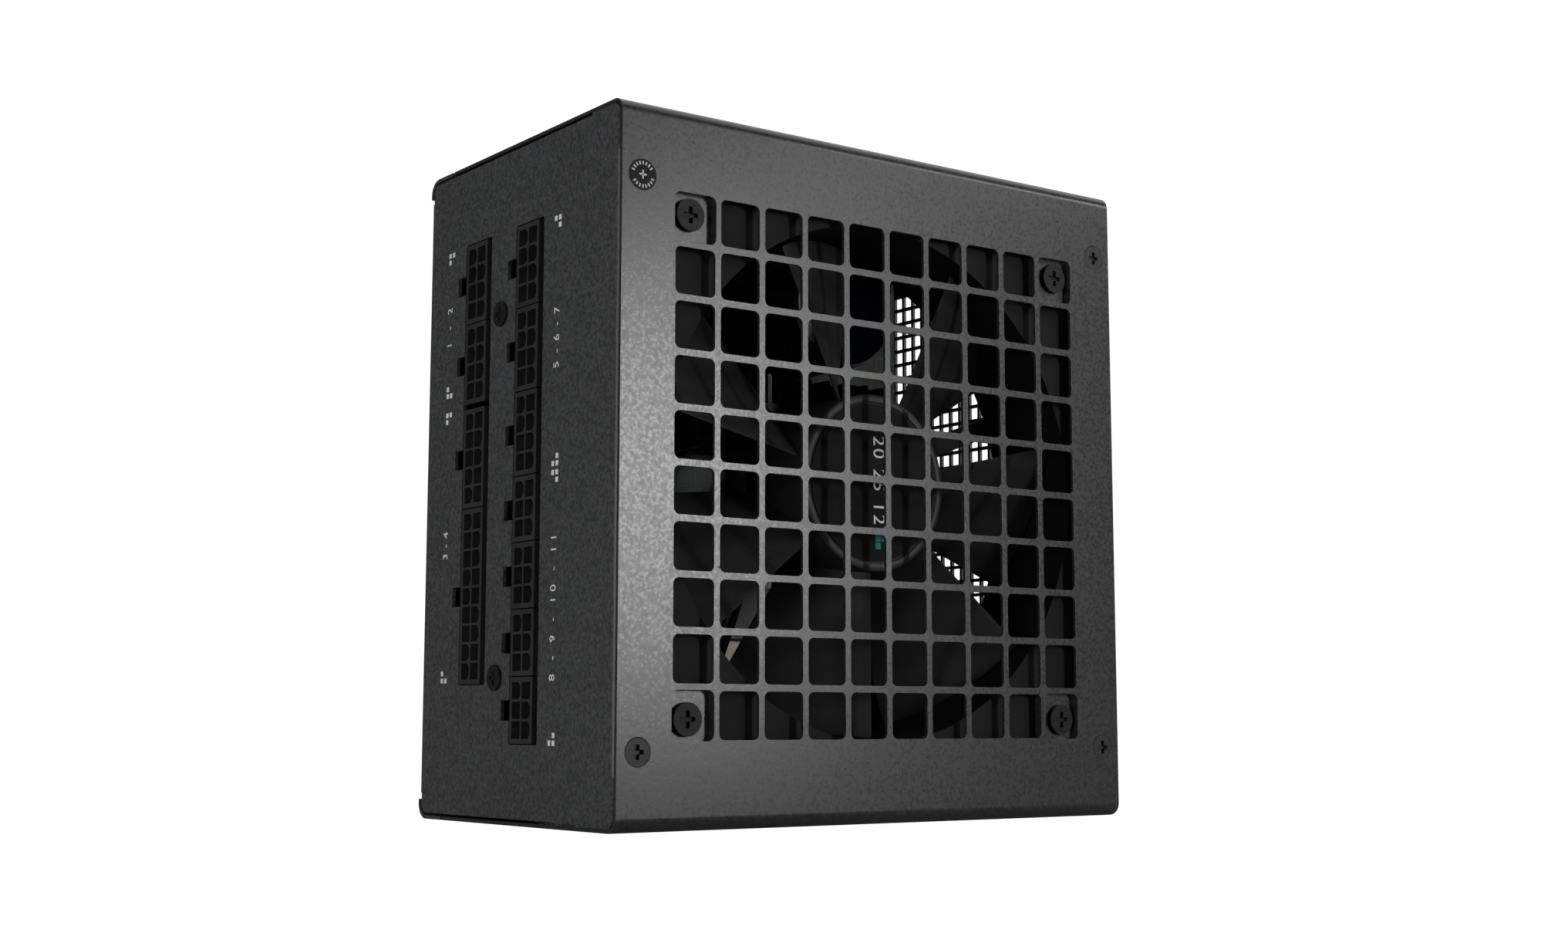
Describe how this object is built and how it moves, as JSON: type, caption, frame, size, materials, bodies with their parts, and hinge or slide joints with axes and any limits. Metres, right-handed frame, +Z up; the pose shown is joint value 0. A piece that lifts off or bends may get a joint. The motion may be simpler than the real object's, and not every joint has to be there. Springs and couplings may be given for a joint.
{
  "type": "power supply unit",
  "caption": "Modular desktop computer power supply: folded steel case, grille over a turning fan, socket panel, mains inlet and rocker switch, with its boards inside.",
  "frame": {"origin": "middle of the long case side that the unit stands on", "axes": "+X from the socket panel to the mains panel, +Y from the fan face to the base plate, +Z up along the 150 mm width"},
  "size_m": [0.144, 0.0861, 0.15],
  "materials": {
    "case_coat": "textured powder coat, fine orange peel",
    "panel_coat": "textured powder coat, matte",
    "black_print": "thin printed film",
    "dark_screw": "black zinc plate",
    "zinc_screw": "bright zinc plate",
    "fan_plastic": "moulded, satin",
    "rotor_plastic": "moulded, satin",
    "badge_film": "printed disc",
    "steel": "drawn steel",
    "magnet": "bonded ferrite",
    "shaft_steel": "ground",
    "bronze": "sintered bronze",
    "lamination": "stacked sheets",
    "copper_wire": "enamelled copper",
    "copper_bar": "bare copper",
    "board": "glass-fibre laminate with solder mask",
    "lead_black": "wire jacket",
    "wire_jacket": "wire jacket",
    "socket_nylon": "moulded nylon",
    "pin_gold": "gold flash",
    "brass_post": "turned",
    "mains_plastic": "moulded, fine grain",
    "rocker_plastic": "moulded, polished",
    "tinned": "nickel or tin plate",
    "fibre_sheet": "insulating fibre",
    "can_sleeve": "shrink sleeve",
    "ferrite": "sintered ferrite",
    "tape": "polyester tape",
    "bobbin": "moulded",
    "sink_aluminium": "extruded",
    "package": "moulded epoxy",
    "film_case": "potted case",
    "disc_blue": "dipped ceramic",
    "disc_green": "coated ceramic",
    "choke_paint": "coated core",
    "relay_case": "moulded case"
  },
  "bodies": {
    "case": {"fan_cover": "case_coat", "fan_grille": "case_coat", "base_shell": "panel_coat", "seal_sticker": "black_print", "cover_screws": "dark_screw", "fan_screws": "zinc_screw", "fan_frame": "fan_plastic", "fan_bearing": "bronze", "fan_stator": "lamination", "fan_coils": "copper_wire", "fan_board": "board", "fan_lead": "lead_black", "sockets_8pin": "socket_nylon", "sockets_6pin": "socket_nylon", "socket_10pin": "socket_nylon", "socket_18pin": "socket_nylon", "socket_pins": "pin_gold", "socket_board": "board", "panel_screws": "dark_screw", "panel_spacers": "brass_post", "bus_bars": "copper_bar", "ac_inlet": "mains_plastic", "inlet_pins": "tinned", "switch_body": "mains_plastic", "switch_terminals": "tinned", "mains_wires": "wire_jacket", "earth_terminal": "tinned", "main_board": "board", "board_standoffs": "brass_post", "board_screws": "zinc_screw", "insulation_sheet": "fibre_sheet", "bulk_capacitor": "can_sleeve", "transformer_core": "ferrite", "transformer_winding": "tape", "transformer_bobbin": "bobbin", "standby_transformer": "tape", "pfc_choke": "copper_wire", "choke_cradle": "bobbin", "primary_heatsink": "sink_aluminium", "secondary_heatsink": "sink_aluminium", "power_transistors": "package", "transistor_screws": "zinc_screw", "rectifier_bridge": "package", "line_filter_chokes": "copper_wire", "x_capacitors": "film_case", "y_capacitors": "disc_blue", "output_capacitors": "can_sleeve", "output_chokes": "choke_paint", "control_card": "board", "control_chips": "package", "relay": "relay_case", "thermistor": "disc_green", "fuse": "tinned"},
    "rotor": {"fan_rotor": "rotor_plastic", "hub_badge": "badge_film", "rotor_yoke": "steel", "rotor_magnet": "magnet", "rotor_shaft": "shaft_steel", "shaft_clip": "steel"},
    "rocker": {"switch_rocker": "rocker_plastic"}
  },
  "joints": [
    {"name": "fan_spin", "type": "hinge", "parent": "case", "child": "rotor", "pos_m": [0, -0.028, 0.075], "axis": [0, 1, 0], "continuous": true},
    {"name": "switch_rock", "type": "hinge", "parent": "case", "child": "rocker", "pos_m": [0.0685, 0.026, 0.027], "axis": [0, -1, 0], "range_deg": [0, 22]}
  ]
}
